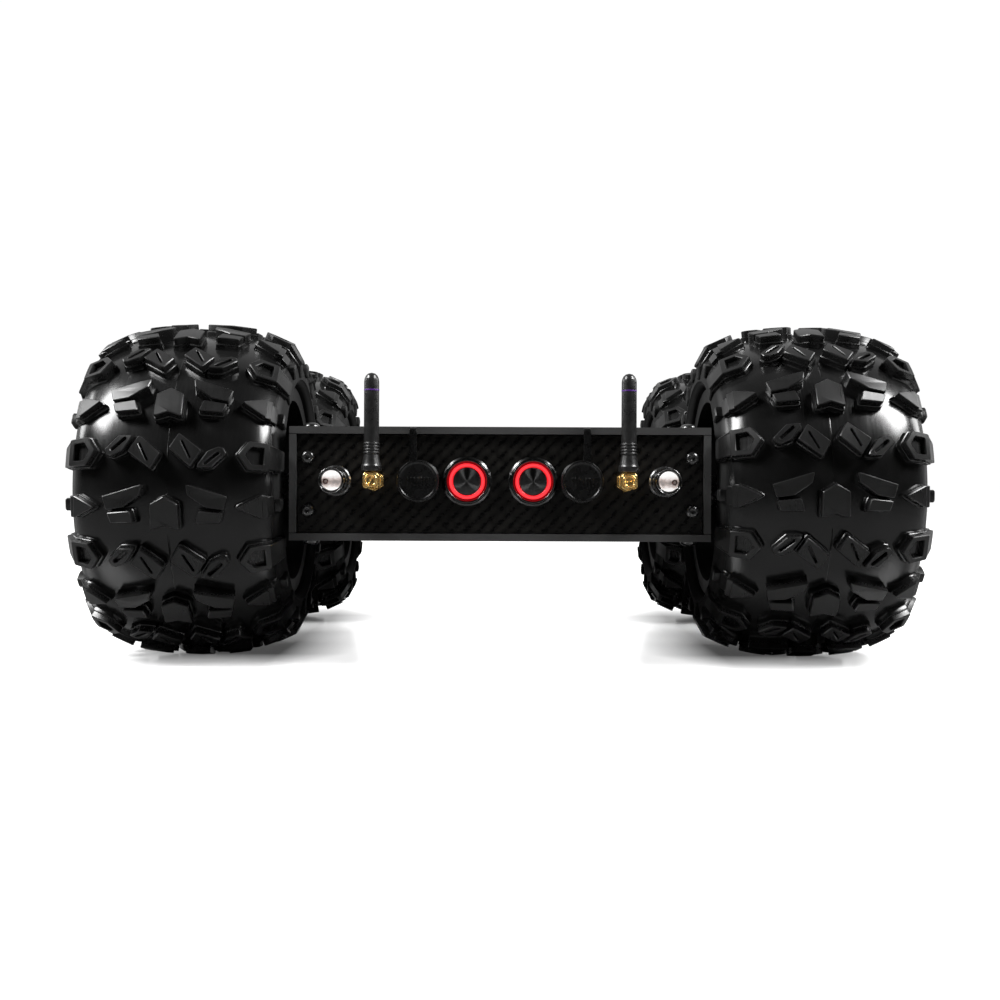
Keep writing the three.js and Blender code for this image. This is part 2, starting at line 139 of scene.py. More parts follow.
def slot_outline(start, end, width):
    """A straight slot with round ends."""
    steps = 4
    start, end = Vector(start), Vector(end)
    heading = math.atan2(end.y - start.y, end.x - start.x)
    points = []
    for centre, first in ((end, heading - math.pi / 2), (start, heading + math.pi / 2)):
        for k in range(steps + 1):
            angle = first + math.pi * k / steps
            points.append(centre + width / 2 * Vector((math.cos(angle), math.sin(angle))))
    return points


# ---------------- solids


def ahead(a, b, along):
    """Axes of a fitting on the front panel: the third points ahead, along -Y."""
    return (a, -along, b)


def across(a, b, along):
    """Axes of a wheel: the third points out along the axle."""
    return (along, a, b)


def upright(a, b, along):
    return (a, b, along)


class Solid:
    """Points and faces of a mesh while it is built, in millimetres."""

    def __init__(self):
        self.points = []
        self.faces = []
        self.rise = {}  # height of some points up their lug, from 0 to 1, for the material

    def ring(self, points):
        start = len(self.points)
        self.points.extend(points)
        return list(range(start, len(self.points)))

    def bridge(self, lower, upper):
        """Faces between two rings, either of which may be a single point."""
        count = max(len(lower), len(upper))
        for i in range(count):
            j = (i + 1) % count
            below = (lower[i % len(lower)], lower[j % len(lower)])
            above = (upper[j % len(upper)], upper[i % len(upper)])
            self.faces.append(tuple(dict.fromkeys(below + above)))

    def cap(self, loops, flats):
        """Fills the first loop less the others. Flats are the loops' flat outlines."""
        order = [index for loop in loops for index in loop]
        outlines = [[Vector((*point, 0)) for point in flat] for flat in flats]
        for triangle in tessellate_polygon(outlines):
            self.faces.append(tuple(order[k] for k in triangle))

    def join(self, other, shift=(0, 0, 0)):
        """Takes in another solid, moved by the shift."""
        start = len(self.points)
        self.points += [tuple(a + b for a, b in zip(point, shift)) for point in other.points]
        self.faces += [tuple(start + index for index in face) for face in other.faces]

    def mesh(self, name, sharp_angle=35):
        mesh = bpy.data.meshes.new(name)
        mesh.from_pydata([Vector(point) * MM for point in self.points], [], self.faces)
        tidy = bmesh.new()
        tidy.from_mesh(mesh)
        bmesh.ops.recalc_face_normals(tidy, faces=tidy.faces)
        tidy.to_mesh(mesh)
        tidy.free()
        if self.rise:
            rises = [self.rise.get(i, 0.0) for i in range(len(self.points))]
            mesh.attributes.new("rise", "FLOAT", "POINT").data.foreach_set("value", rises)
        mesh.shade_smooth()
        mesh.set_sharp_from_angle(angle=math.radians(sharp_angle))
        return mesh


def flat_sided(radius, angle, flats):
    """Radius at an angle of a round cut down to (number of flats, distance of each from the axis)."""
    count, distance = flats
    part = 2 * math.pi / count
    return min(radius, distance / math.cos((angle + part / 2) % part - part / 2))


def around(radius, along, axes, sides, flats=None):
    """Points round an axis, or just the one on it where the radius is 0."""
    if radius < 1e-6:
        return [axes(0, 0, along)]
    points = []
    for k in range(sides):
        angle = 2 * math.pi * k / sides
        r = flat_sided(radius, angle, flats) if flats else radius
        points.append(axes(r * math.cos(angle), r * math.sin(angle), along))
    return points


def turned(profile, axes, sides, closed=False, flats=None, into=None):
    """A turned solid: the profile's points are (radius, distance along the axis)."""
    solid = into or Solid()
    rings = [solid.ring(around(radius, along, axes, sides, flats)) for radius, along in profile]
    for lower, upper in zip(rings, rings[1:] + (rings[:1] if closed else [])):
        solid.bridge(lower, upper)
    return solid


def add_prism(solid, outline, low, high, axes, bevel):
    """Raises an outline from low to high, with bevelled edges."""
    outline = counter_clockwise(outline)
    levels = ((low, -bevel), (low + bevel, 0), (high - bevel, 0), (high, -bevel))
    flats = [offset(outline, inset) for _, inset in levels]
    rings = [solid.ring([axes(*point, z) for point in flat]) for flat, (z, _) in zip(flats, levels)]
    for lower, upper in zip(rings, rings[1:]):
        solid.bridge(lower, upper)
    for end in (0, -1):
        solid.cap([rings[end]], [flats[end]])


def piece(name, shape, material, body, at, turn=(0, 0, 0), replaces=()):
    """A finished piece in its place, tied to its body. Shape is a Solid or a mesh to share."""
    mesh = shape.mesh(name) if isinstance(shape, Solid) else shape
    if not mesh.materials:
        mesh.materials.append(material)
    made = bpy.data.objects.new(name, mesh)
    bpy.context.scene.collection.objects.link(made)
    made.location = Vector(at) * MM
    made.rotation_euler = turn
    if body:
        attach(made, body)
    if replaces:
        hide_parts(*replaces)
    return made


# ---------------- materials


class Nodes:
    """A node tree while it is built. Sockets take a value, or another node's output."""

    def __init__(self, tree):
        self.nodes = tree.nodes
        self.links = tree.links

    def plug(self, socket, value):
        if isinstance(value, bpy.types.NodeSocket):
            self.links.new(value, socket)
        else:
            socket.default_value = value

    def add(self, kind, sockets, output=0, **settings):
        node = self.nodes.new("ShaderNode" + kind)
        for key, value in settings.items():
            setattr(node, key, value)
        for key, value in sockets.items():
            self.plug(node.inputs[key], value)
        return node.outputs[output]

    def math(self, operation, *values):
        return self.add("Math", dict(enumerate(values)), operation=operation)

    def place(self):
        """The point on the piece, in metres from its own origin."""
        return self.add("TexCoord", {}, output="Object")

    def stretched(self, x, y, z):
        """The point on the piece with its parts scaled, so that noise runs in streaks."""
        return self.add("Mapping", {"Vector": self.place(), "Scale": (x, y, z)})

    def parts(self, vector):
        node = self.nodes.new("ShaderNodeSeparateXYZ")
        self.links.new(vector, node.inputs[0])
        return node.outputs[0], node.outputs[1], node.outputs[2]

    def vector(self, x, y, z):
        return self.add("CombineXYZ", {0: x, 1: y, 2: z})

    def distance(self, a, b):
        """Distance from an axis, from the two parts across it."""
        squares = self.math("ADD", self.math("MULTIPLY", a, a), self.math("MULTIPLY", b, b))
        return self.math("SQRT", squares)

    def noise(self, size, vector=None, detail=3):
        """Noise whose grains are about that many millimetres across."""
        sockets = {"Scale": 1 / (size * MM), "Detail": detail}
        sockets["Vector"] = self.place() if vector is None else vector
        return self.add("TexNoise", sockets)

    def spread(self, value, low, high, start=0.3, end=0.7):
        """The value's range from start to end, spread over low to high."""
        return self.add("MapRange", {0: value, 1: start, 2: end, 3: low, 4: high})

    def mix(self, factor, first, second):
        """A colour between two. Its sockets share their names with others, so they go by number."""
        sockets = {0: factor, 6: colour(first), 7: colour(second)}
        return self.add("Mix", sockets, output=2, data_type="RGBA")

    def bump(self, height, depth):
        """A normal roughened by a height from 0 to 1, that many millimetres deep."""
        return self.add("Bump", {"Height": height, "Distance": depth * MM, "Strength": 1.0})


class Look(Nodes):
    """A material's nodes."""

    def __init__(self, name, sockets):
        self.material = bpy.data.materials.new(name)
        self.material.use_nodes = True
        super().__init__(self.material.node_tree)
        self.set(sockets)

    def set(self, sockets):
        for key, value in sockets.items():
            self.plug(self.nodes["Principled BSDF"].inputs[key], value)


def colour(value):
    """A grey level or an (r, g, b) as a socket's colour; a socket stays as it is."""
    if isinstance(value, bpy.types.NodeSocket):
        return value
    if isinstance(value, (int, float)):
        return (value, value, value, 1)
    return (*value, 1)


def moulded(name, dark, light, roughness, grain, depth, sockets=None):
    """A moulded or painted surface: mottled colour, uneven gloss and a fine grain."""
    look = Look(name, sockets or {})
    cloud = look.noise(grain * 14)
    fine = look.noise(grain, detail=5)
    look.set({
        "Base Color": look.mix(look.spread(cloud, 0, 1), dark, light),
        "Roughness": look.spread(cloud, roughness - 0.05, roughness + 0.05),
        "Normal": look.bump(fine, depth),
    })
    return look.material


def tyre_rubber():
    """Satin moulded rubber: turned streaks round the carcass, and duller lug tops, with painted shade
    darkening the colour down the lug walls into the grooves.
    """
    look = Look("tyre_rubber", {"Specular IOR Level": 0.4})
    x, y, z = look.parts(look.place())
    radius = look.distance(y, z)
    angle = look.math("ARCTAN2", z, y)
    round_tyre = look.vector(x, radius, look.math("MULTIPLY", angle, 0.004))
    streaks = look.noise(0.7, round_tyre, detail=4)
    cloud = look.noise(16)
    grain = look.noise(0.35, detail=5)
    rise = look.add("Attribute", {}, output="Fac", attribute_name="rise")
    # Painted shade: the colour darkens down each lug's wall towards the carcass between the lugs.
    shade = look.math("MULTIPLY_ADD", rise, 0.5, look.spread(cloud, 0, 0.5))
    sidewall = look.spread(radius, 0.7, 0, 60 * MM, 64 * MM)
    gloss = look.math("ADD", look.spread(rise, 0.2, 0.3, 0, 1), look.spread(cloud, -0.02, 0.04))
    dull = look.math("ADD", gloss, sidewall)
    height = look.math("ADD", look.math("MULTIPLY", streaks, 0.6), look.math("MULTIPLY", grain, 0.4))
    look.set({
        "Base Color": look.mix(shade, 0.0045, 0.009),
        "Roughness": look.math("ADD", dull, look.spread(streaks, -0.03, 0.03)),
        "Normal": look.bump(height, 0.006),
    })
    return look.material


def carbon_fibre():
    """Twill laminate: each row of tows is woven one over, so faint bands run up to the right; their lighter
    colour is painted sheen, standing in for the tows' reflection.
    """
    tow = 1.45 * MM
    look = Look("carbon_fibre", {"Specular IOR Level": 0.22})
    x, _, z = look.parts(look.place())
    column = look.math("DIVIDE", x, tow)
    row = look.math("DIVIDE", z, tow)
    step = look.math("SUBTRACT", look.math("FLOOR", column), look.math("FLOOR", row))
    over = look.math("LESS_THAN", look.math("FLOORED_MODULO", step, 4.0), 1.5)
    sheen_diagonal = look.math("SINE", look.math("MULTIPLY", look.math("SUBTRACT", column, row), math.pi / 2))

    def crown(position):
        """Height across a tow, from 0 at its edges to 1 along its middle."""
        return look.math("SINE", look.math("MULTIPLY", look.math("FRACT", position), math.pi))

    def choose(when_over, otherwise):
        return look.add("Mix", {0: over, 2: otherwise, 3: when_over}, data_type="FLOAT")

    filaments_up = look.noise(0.12, look.vector(x, 0.0, look.math("MULTIPLY", z, 0.06)))
    filaments_along = look.noise(0.12, look.vector(look.math("MULTIPLY", x, 0.06), 0.0, z))
    filament = choose(filaments_up, filaments_along)
    cloud = look.noise(30)
    blotch = look.spread(look.noise(3.2), -0.35, 0.35)
    # Painted sheen: the diagonal bands lighten the colour as the tows' reflection would, over random blotches
    # and filaments of the weave.
    band = look.math("ADD", blotch, look.spread(sheen_diagonal, 0, 0.65, -1, 1))
    weave_and_sheen = look.math("ADD", band, look.spread(filament, 0, 0.3))
    height = look.math("MULTIPLY_ADD", filament, 0.25, choose(crown(column), crown(row)))
    resin = look.mix(look.spread(cloud, 0, 1), 0.0002, 0.0006)
    look.set({
        "Base Color": look.mix(weave_and_sheen, resin, (0.0092, 0.0085, 0.0074)),
        "Roughness": look.spread(weave_and_sheen, 0.24, 0.42, 0, 1),
        "Normal": look.bump(height, 0.02),
    })
    return look.material


def anodised():
    """Bead-blasted and anodised sheet: even, with a very fine sparkle and faint handling marks."""
    look = Look("anodised_aluminium", {"Metallic": 0.55})
    fine = look.noise(0.25, detail=4)
    cloud = look.noise(45)
    marks = look.noise(6, look.stretched(0.15, 1.0, 1.0), detail=6)
    look.set({
        "Base Color": look.mix(look.spread(cloud, 0, 1), 0.055, 0.07),
        "Roughness": look.math("ADD", look.spread(marks, 0.47, 0.53), look.spread(fine, -0.03, 0.03)),
        "Normal": look.bump(fine, 0.012),
    })
    return look.material


def spun_metal():
    """Black plated cap with a spun face: fine rings, and highlights that fan out from the middle."""
    look = Look("spun_metal", {"Metallic": 1.0, "Anisotropic": 1.0})
    x, _, z = look.parts(look.place())
    radius = look.distance(x, z)
    rings = look.noise(0.16, look.vector(radius, 0.0, 0.0), detail=2)
    tangent = look.add("Tangent", {}, direction_type="RADIAL", axis="Y")
    look.set({
        "Base Color": look.mix(rings, 0.03, 0.11),
        "Roughness": look.spread(rings, 0.3, 0.38),
        "Tangent": tangent,
        "Normal": look.bump(rings, 0.004),
    })
    return look.material


def light_ring(inner, outer):
    """Lit translucent ring, pinkish along its middle and deep red at its edges."""
    look = Look("red_light", {"Roughness": 0.3, "Emission Strength": 1.0})
    x, _, z = look.parts(look.place())
    radius = look.distance(x, z)
    half = (outer - inner) / 2 * MM
    from_middle = look.math("ABSOLUTE", look.math("SUBTRACT", radius, (inner + outer) / 2 * MM))
    edge = look.spread(from_middle, 0, 1, 0.15 * half, half)
    glow = look.mix(edge, (1.0, 0.055, 0.07), (0.75, 0.006, 0.012))
    speckle = look.noise(0.5)
    look.set({
        "Base Color": look.mix(speckle, (0.5, 0.01, 0.015), (0.6, 0.015, 0.02)),
        "Emission Color": glow,
        "Normal": look.bump(speckle, 0.01),
    })
    return look.material


def plated(name, dark, light, roughness, metallic=1.0):
    """Bright plating with faint rubbing marks."""
    look = Look(name, {"Metallic": metallic})
    cloud = look.noise(3)
    rub = look.noise(0.5, look.stretched(1.0, 1.0, 0.12), detail=5)
    look.set({
        "Base Color": look.mix(look.spread(cloud, 0, 1), dark, light),
        "Roughness": look.spread(rub, roughness * 0.7, roughness * 1.4),
        "Normal": look.bump(rub, 0.004),
    })
    return look.material


def lens_glass():
    look = Look("lens_glass", {"Transmission Weight": 1.0, "IOR": 1.49})
    ripple = look.noise(2.5, detail=1)
    look.set({
        "Base Color": look.mix(ripple, (0.97, 0.98, 1.0), (1.0, 1.0, 1.0)),
        "Roughness": look.spread(ripple, 0.0, 0.04),
        "Normal": look.bump(ripple, 0.02),
    })
    return look.material


def painted_glow_reflector():
    """Frosted bowl with a painted glow in place of the light it would reflect: white above and below, and a
    dimmer pinkish beige painted reflection across its middle.
    """
    look = Look("painted_glow_reflector", {})
    _, _, z = look.parts(look.place())
    frost = look.noise(0.4)
    cloud = look.noise(1.6)
    # Painted light: the glow follows the height, white away from the middle, with a pinkish painted
    # reflection across it.
    from_middle = look.math("ABSOLUTE", look.math("ADD", z, 0.6 * MM))
    shifted = look.math("MULTIPLY_ADD", cloud, 2.4 * MM, from_middle)
    lit = look.spread(shifted, 0, 1, 1.5 * MM, 3.6 * MM)
    glow = look.spread(lit, 0.07, 0.85, 0, 1)
    look.set({
        "Base Color": look.mix(frost, 0.35, 0.45),
        "Roughness": look.spread(frost, 0.4, 0.55),
        "Emission Color": look.mix(lit, (1.0, 0.72, 0.62), (1.0, 0.99, 0.97)),
        "Emission Strength": look.math("MULTIPLY_ADD", frost, 0.1, glow),
        "Normal": look.bump(frost, 0.02),
    })
    return look.material


def circuit_board():
    """Green solder mask with paler copper runs under it."""
    look = Look("circuit_board", {"Coat Weight": 0.4})
    runs = look.add("TexBrick", {
        "Vector": look.place(), "Scale": 220.0, "Mortar Size": 0.03, "Color1": colour((0.01, 0.09, 0.03)),
        "Color2": colour((0.012, 0.12, 0.04)), "Mortar": colour((0.03, 0.2, 0.07)),
    })
    fine = look.noise(0.8)
    look.set({"Base Color": runs, "Roughness": look.spread(fine, 0.3, 0.45), "Normal": look.bump(fine, 0.02)})
    return look.material


def battery_wrap():
    look = Look("battery_wrap", {"Coat Weight": 0.6})
    creases = look.add("TexVoronoi", {"Vector": look.place(), "Scale": 60.0})
    cloud = look.noise(9)
    look.set({
        "Base Color": look.mix(look.spread(cloud, 0, 1), (0.01, 0.03, 0.12), (0.015, 0.05, 0.18)),
        "Roughness": look.spread(cloud, 0.25, 0.4),
        "Normal": look.bump(creases, 0.15),
    })
    return look.material


RUBBER = tyre_rubber()
CARBON = carbon_fibre()
ANODISED = anodised()
NYLON = moulded("black_nylon", 0.004, 0.008, 0.6, 0.5, 0.02, {"Specular IOR Level": 0.2})
SOFT_RUBBER = moulded("soft_rubber", 0.0012, 0.003, 0.28, 0.3, 0.008)
SOCKET_PLASTIC = moulded("socket_plastic", 0.004, 0.008, 0.35, 0.3, 0.01)
ANTENNA_PLASTIC = moulded("antenna_plastic", 0.008, 0.013, 0.3, 0.25, 0.008)
VIOLET = moulded("violet_band", (0.06, 0.012, 0.16), (0.09, 0.02, 0.22), 0.35, 0.3, 0.01)
BLACK_STEEL = moulded("black_steel", 0.07, 0.125, 0.27, 0.2, 0.004, {"Metallic": 0.9})
BLACK_PLATED = moulded("black_plated", 0.09, 0.14, 0.18, 0.25, 0.003, {"Metallic": 1.0})
SPUN = spun_metal()
GOLD = plated("gold_plating", (0.8, 0.43, 0.11), (1.0, 0.76, 0.32), 0.19, metallic=0.86)
CHROME = plated("smoked_chrome", 0.24, 0.34, 0.12)
PAINTED_GLOW_REFLECTOR = painted_glow_reflector()
STEEL = plated("turned_steel", 0.38, 0.52, 0.28)
GLASS = lens_glass()
LED = moulded("led_chip", (0.05, 0.022, 0.018), (0.13, 0.06, 0.05), 0.3, 0.2, 0.01)
BOARD = circuit_board()
WRAP = battery_wrap()


# ---------------- plates and panels


def soften(shown, width, segments, angle):
    """Takes the sharpness off the edges that turn by more than an angle in degrees."""
    edges = shown.modifiers.new("edges", "BEVEL")
    edges.width = width * MM
    edges.segments = segments
    edges.limit_method = "ANGLE"
    edges.angle_limit = math.radians(angle)


def dress(node, material, bevel=0.0):
    """Gives a CAD node its material and soft edges."""
    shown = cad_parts[node]
    shown.data.materials.clear()
    shown.data.materials.append(material)
    if bevel:
        soften(shown, bevel, 2, 40)


def dress_plates():
    for node in ("top_plate", "bottom_plate", "side_plate_left", "side_plate_right"):
        dress(node, ANODISED, 0.25)
    for node in ("front_panel", "rear_panel"):
        dress(node, CARBON, 0.12)
    for end, _ in ENDS:
        for side, _ in SIDES:
            dress(f"corner_post_{end}_{side}", ANODISED, 0.3)
            dress(f"gear_motor_{end}_{side}", STEEL, 0.4)
    dress("battery_pack", WRAP, 2.0)
    dress("controller_board", BOARD)
    dress("motor_driver_board", BOARD)


# Button-head screws: [head radius, head height, socket's distance across flats].
M3_HEAD = (2.85, 1.75, 2.0)
M4_HEAD = (3.8, 2.2, 2.5)
SOCKET_DEPTH = 0.88  # share of the head's height
HEAD_BRIM = 0.25  # straight edge under the dome
DOME_ANGLE = math.radians(65)
DOME_STEPS = 6


def screw_head(size):
    """Domed head with a hexagonal socket. Its underside is at 0."""
    radius, height, across_flats = size
    corner = across_flats / math.sqrt(3)
    floor = height * (1 - SOCKET_DEPTH)
    sides = 48
    dome = [(0, 0), (radius, 0), (radius, HEAD_BRIM)]
    for k in range(1, DOME_STEPS + 1):
        angle = k * DOME_ANGLE / DOME_STEPS
        up = (height - HEAD_BRIM) * math.sin(angle) / math.sin(DOME_ANGLE)
        dome.append((radius * math.cos(angle) ** 0.8, HEAD_BRIM + up))
    dome.append((corner * 1.12, height))
    solid = turned(dome, ahead, sides)
    rings = [list(range(len(solid.points) - sides, len(solid.points)))]
    for along in (height - 0.12, floor):
        rings.append(solid.ring(around(corner, along, ahead, sides, (6, across_flats / 2))))
    rings.append(solid.ring([ahead(0, 0, floor - 0.15)]))
    for above, below in zip(rings, rings[1:]):
        solid.bridge(above, below)
    return solid.mesh("screw_head")


DECK_SCREW_INSET = 3  # from the middle of the corner post


def add_screws():
    small = screw_head(M3_HEAD)
    large = screw_head(M4_HEAD)
    backwards, upwards, downwards = (0, 0, math.pi), (-math.pi / 2, 0, 0), (math.pi / 2, 0, 0)
    for level in ("lower", "upper"):
        for side, sign in SIDES:
            node = f"panel_screw_{level}_{side}"
            place = centre_of(node)
            spin = (0, 0.3 * sign + (0.5 if level == "upper" else 0), 0)  # sockets stop at any angle
            piece(f"screw_front_{level}_{side}", small, BLACK_STEEL, "chassis",
                  (place.x, PANEL_FACE, place.z), spin, [node])
            piece(f"screw_rear_{level}_{side}", small, BLACK_STEEL, "chassis",
                  (place.x, REAR_FACE, place.z), backwards)
    post_x = centre_of("corner_post_front_right").x
    post_y = centre_of("corner_post_rear_right").y
    for end, end_sign in ENDS:
        for side, sign in SIDES:
            x, y = sign * post_x, end_sign * (post_y - DECK_SCREW_INSET)
            piece(f"deck_screw_{end}_{side}", large, BLACK_STEEL, "chassis",
                  (x, y, DECK_TOP), upwards)
            piece(f"floor_screw_{end}_{side}", large, BLACK_STEEL, "chassis",
                  (x, y, DECK_BOTTOM), downwards)


# ---------------- front fittings
# Profiles give (radius, out), and those of an antenna's neck and rod (radius, up).


CHIP_SIDE, CHIP_DROP = 2.4, 0.4  # the light chip's place beside and below the lamp's middle
LENS_RADIUS, LENS_THICKNESS, LENS_EDGE, LENS_RISE = 4.25, 0.7, 14.5, 1.1
BOWL_BACK, BOWL_BOTTOM, BOWL_RIM = 8.55, 10.6, 14.0  # of the reflector


def lens_dome(radius, edge, rise):
    """Points of a shallow dome from its edge to its top."""
    angles = [math.radians(a) for a in range(0, 91, 10)]
    return [(radius * math.cos(a), edge + rise * math.sin(a)) for a in angles]


def add_lamp(side, sign, x, z):
    at = (x, PANEL_FACE, z)
    flange = round_corners([(5.7, 0), (6.9, 0), (6.9, 1.3), (6.3, 1.9), (5.7, 2.0)], 0.3)
    flange = turned(flange, ahead, 80, closed=True)
    piece(f"lamp_flange_{side}", flange, BLACK_STEEL, "chassis", at)
    barrel = round_corners([
        (0, 0.1), (5.8, 0.1), (5.75, 15.2), (5.55, 15.9), (5.25, 15.9), (5.1, 14.6), (4.75, 14.6),
        (4.7, 15.3), (4.4, 15.3), (4.3, 14.6), (4.3, 8.5), (0, 8.5),
    ], 0.15, closed=False)
    piece(f"lamp_shell_{side}", turned(barrel, ahead, 80), CHROME, "chassis", at,
          replaces=[f"lamp_body_{side}"])
    bowl = [(0, BOWL_BOTTOM)]
    for k in range(1, 11):
        bowl.append((LENS_RADIUS * math.sqrt(k / 10), BOWL_BOTTOM + (BOWL_RIM - BOWL_BOTTOM) * k / 10))
    bowl += [(LENS_RADIUS + 0.03, BOWL_RIM), (LENS_RADIUS + 0.03, BOWL_BACK), (0, BOWL_BACK)]
    piece(f"lamp_reflector_{side}", turned(bowl, ahead, 64), PAINTED_GLOW_REFLECTOR, "chassis", at)
    chip = round_corners([(0.5, 11.5), (1.15, 11.5), (1.15, 13.6), (0.5, 13.6)], 0.2)
    chip_at = Vector(at) + Vector((sign * CHIP_SIDE, 0, -CHIP_DROP))
    piece(f"lamp_chip_{side}", turned(chip, ahead, 32, closed=True), LED, "chassis", chip_at)
    outside = lens_dome(LENS_RADIUS, LENS_EDGE, LENS_RISE)
    inside = lens_dome(LENS_RADIUS - LENS_THICKNESS, LENS_EDGE, LENS_RISE - LENS_THICKNESS)
    lens = turned(outside + inside[::-1], ahead, 64)
    piece(f"lamp_glass_{side}", lens, GLASS, "chassis", at, replaces=[f"lamp_lens_{side}"])


LIGHT_INNER, LIGHT_OUTER = 6.3, 7.95


def add_button(side, x, z, ring_light):
    at = (x, PANEL_FACE, z)
    bezel = round_corners([
        (0, -6), (9.4, -6), (9.4, 0), (11, 0), (11, 1.5), (10.1, 2.3), (9.7, 3.4), (8.85, 3.4),
        (8.4, 1.6), (8.3, -5), (0, -5),
    ], 0.2, 4, closed=False)
    piece(f"button_flange_{side}", turned(bezel, ahead, 96), BLACK_PLATED, "chassis", at,
          replaces=[f"button_bezel_{side}"])
    ring = round_corners([
        (LIGHT_INNER, -4.5), (LIGHT_OUTER, -4.5), (LIGHT_OUTER, 2.9), (LIGHT_INNER, 2.9),
    ], 0.4, 4)
    piece(f"button_light_{side}", turned(ring, ahead, 96, closed=True), ring_light, "chassis",
          at, replaces=[f"button_light_ring_{side}"])
    cap = round_corners([(0, -2.5), (6.05, -2.5), (6.05, 2.6), (0, 3.3)], 0.25, 4, closed=False)
    piece(f"button_face_{side}", turned(cap, ahead, 96), SPUN, f"button_{side}", at,
          replaces=[f"button_cap_{side}"])


# Rubber strap of the dust caps: a riser behind, a fold over the top and a run down in front.
STRAP_WIDTH, STRAP_THICKNESS = 3.1, 1.2
STRAP_SIDE = 2.2  # how far the strap stands beside the cap's middle, away from the panel's
RISER_OUT, RUN_OUT = 3.0, 5.8  # middle of the strap's thickness
FOLD_TAIL = 0.6  # how far the fold's piece runs on down both sides
CAP_RIBS, CAP_RIB_STEP = 7, 1.5


def strap(path, middle):
    """A flat band with soft edges along a path of (out, up) points, its middle that far sideways."""
    solid = Solid()
    half_width, half_thickness = STRAP_WIDTH / 2, STRAP_THICKNESS / 2
    section = round_corners([
        (-half_width, -half_thickness), (half_width, -half_thickness),
        (half_width, half_thickness), (-half_width, half_thickness),
    ], 0.35, 2)
    path = [Vector(point) for point in path]
    rings = []
    for i, point in enumerate(path):
        heading = (path[min(i + 1, len(path) - 1)] - path[max(i - 1, 0)]).normalized()
        normal = Vector((heading.y, -heading.x))
        ring = []
        for sideways, depth in section:
            spot = point + normal * depth
            ring.append(ahead(middle + sideways, spot.y, spot.x))
        rings.append(solid.ring(ring))
    for lower, upper in zip(rings, rings[1:]):
        solid.bridge(lower, upper)
    for end in (rings[0], rings[-1]):
        solid.cap([end], [section])
    return solid


def add_port(side, sign, x, z):
    at = (x, PANEL_FACE, z)
    strap_x = sign * STRAP_SIDE
    fold_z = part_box(f"dust_cap_{side}")[1].z / MM - z
    socket = round_corners([
        (0, -8), (7.8, -8), (7.8, 1.7), (9.0, 1.7), (9.0, 3.1), (7.3, 3.1), (7.3, 6.2), (5.6, 6.2),
        (5.6, -7.8), (0, -7.8),
    ], 0.25, closed=False)
    shell = turned(socket, ahead, 64)
    pin = round_corners([(0, -7.8), (1.2, -7.8), (1.2, 4.5), (0.8, 5.2), (0, 5.2)], 0.2, closed=False)
    turned(pin, ahead, 24, into=shell)
    piece(f"port_shell_{side}", shell, SOCKET_PLASTIC, "chassis", at,
          replaces=[f"port_socket_{side}"])

    ring = round_corners([(8.0, 0.1), (9.4, 0.1), (9.4, 1.5), (8.0, 1.5)], 0.4)
    ring = turned(ring, ahead, 80, closed=True)
    piece(f"strap_ring_{side}", ring, SOFT_RUBBER, "chassis", at,
          replaces=[f"port_strap_{side}"])
    rise = [(0.9, 9.2), (0.9, 11.0), (1.3, 12.4), (2.2, 14.2), (2.8, 15.8), (RISER_OUT, 17.2)]
    rise.append((RISER_OUT, fold_z))
    piece(f"strap_riser_{side}", strap(rise, strap_x), SOFT_RUBBER, "chassis", at)

    middle = (RISER_OUT + RUN_OUT) / 2
    reach = (RUN_OUT - RISER_OUT) / 2
    arc = [(RISER_OUT, fold_z - FOLD_TAIL)]
    for k in range(17):
        angle = math.pi * (1 - k / 16)
        arc.append((middle + reach * math.cos(angle), fold_z + reach * 1.35 * math.sin(angle)))
    arc.append((RUN_OUT, fold_z - FOLD_TAIL))
    fold = piece(f"strap_fold_{side}", strap(arc, strap_x), SOFT_RUBBER, None, at)
    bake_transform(fold)

    cup = round_corners([
        (0, 6.6), (7.8, 6.6), (7.8, 3.5), (9.15, 3.5), (9.15, 7.7), (8.8, 8.2), (8.1, 8.2), (7.9, 7.8),
        (7.4, 7.7), (0, 7.7),
    ], 0.35, 3, closed=False)
    cap = turned(cup, ahead, 96)
    for k in range(CAP_RIBS):
        rib = round_corners([(-0.32, -1.9), (0.32, -1.9), (0.32, 1.9), (-0.32, 1.9)], 0.3, 3)
        rib = [point + Vector((CAP_RIB_STEP * (k - CAP_RIBS // 2), -0.3)) for point in rib]
        add_prism(cap, rib, 7.4, 8.0, ahead, 0.12)
    piece(f"cap_cup_{side}", cap, SOFT_RUBBER, f"cap_{side}", at, replaces=[f"dust_cap_{side}"])
    run = strap([(RUN_OUT, 8.2), (RUN_OUT, 12), (RUN_OUT, fold_z)], strap_x)
    piece(f"cap_strap_{side}", run, SOFT_RUBBER, f"cap_{side}", at)


ELBOW_OUT = 13.5  # the rod's axis
PLUG_FACE = ELBOW_OUT + 3.3
ROD_LENGTH = 46.5
SLOT_ANGLE = {"left": 62, "right": 10}  # degrees, of the slot in each plug's face


def add_bulkhead(side, at):
    """Threaded socket through the panel, with its hexagonal nut."""
    stud = turned([(0, -8), (3.1, -8), (3.1, 6.8), (2.8, 7), (0, 7)], ahead, 48)
    thread = turned([(3.1 + 0.16 * (k % 2), 0.4 + 0.3 * k) for k in range(9)], ahead, 48)
    nut = round_corners([(0, 0), (4.3, 0), (4.7, 0.4), (4.7, 2.2), (4.3, 2.6), (0, 2.6)], 0.15, closed=False)
    turned(nut, ahead, 96, flats=(6, 4.0), into=stud)
    stud.join(thread)
    piece(f"antenna_bulkhead_{side}", stud, GOLD, "chassis", at,
          replaces=[f"antenna_socket_{side}"])


